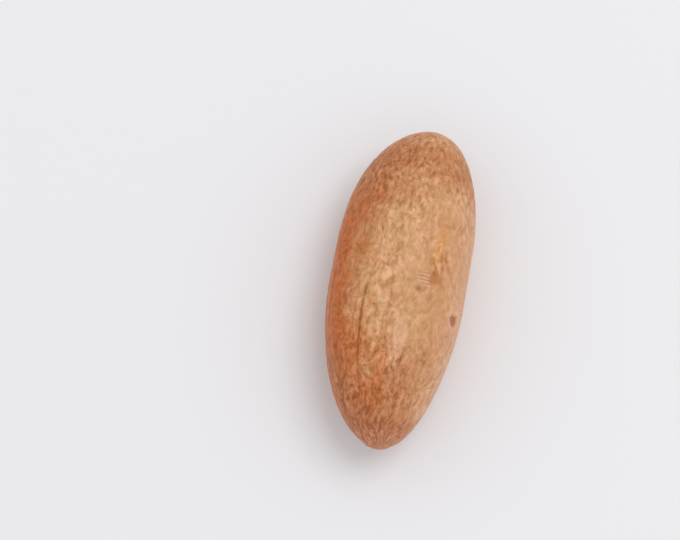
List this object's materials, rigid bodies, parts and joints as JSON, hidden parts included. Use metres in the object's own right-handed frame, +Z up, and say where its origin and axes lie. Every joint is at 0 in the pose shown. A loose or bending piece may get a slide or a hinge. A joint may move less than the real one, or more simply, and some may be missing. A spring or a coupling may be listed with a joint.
{
  "type": "bitter kola nut",
  "caption": "Bitter kola nut in its dry seed coat: a long egg shape, blunt at one end and narrower at the scar end, with shallow branching furrows.",
  "frame": {"origin": "on the surface that the nut rests on, under the middle of its box", "axes": "+X along the nut to its blunt end, +Y to the flank with the deep furrow, +Z up through the side that the picture shows"},
  "size_m": [0.035, 0.0146, 0.0132],
  "materials": {
    "seed_coat": "dry, matt and papery, tan with orange-brown patches"
  },
  "bodies": {
    "root": {"nut": "seed_coat"}
  },
  "joints": []
}
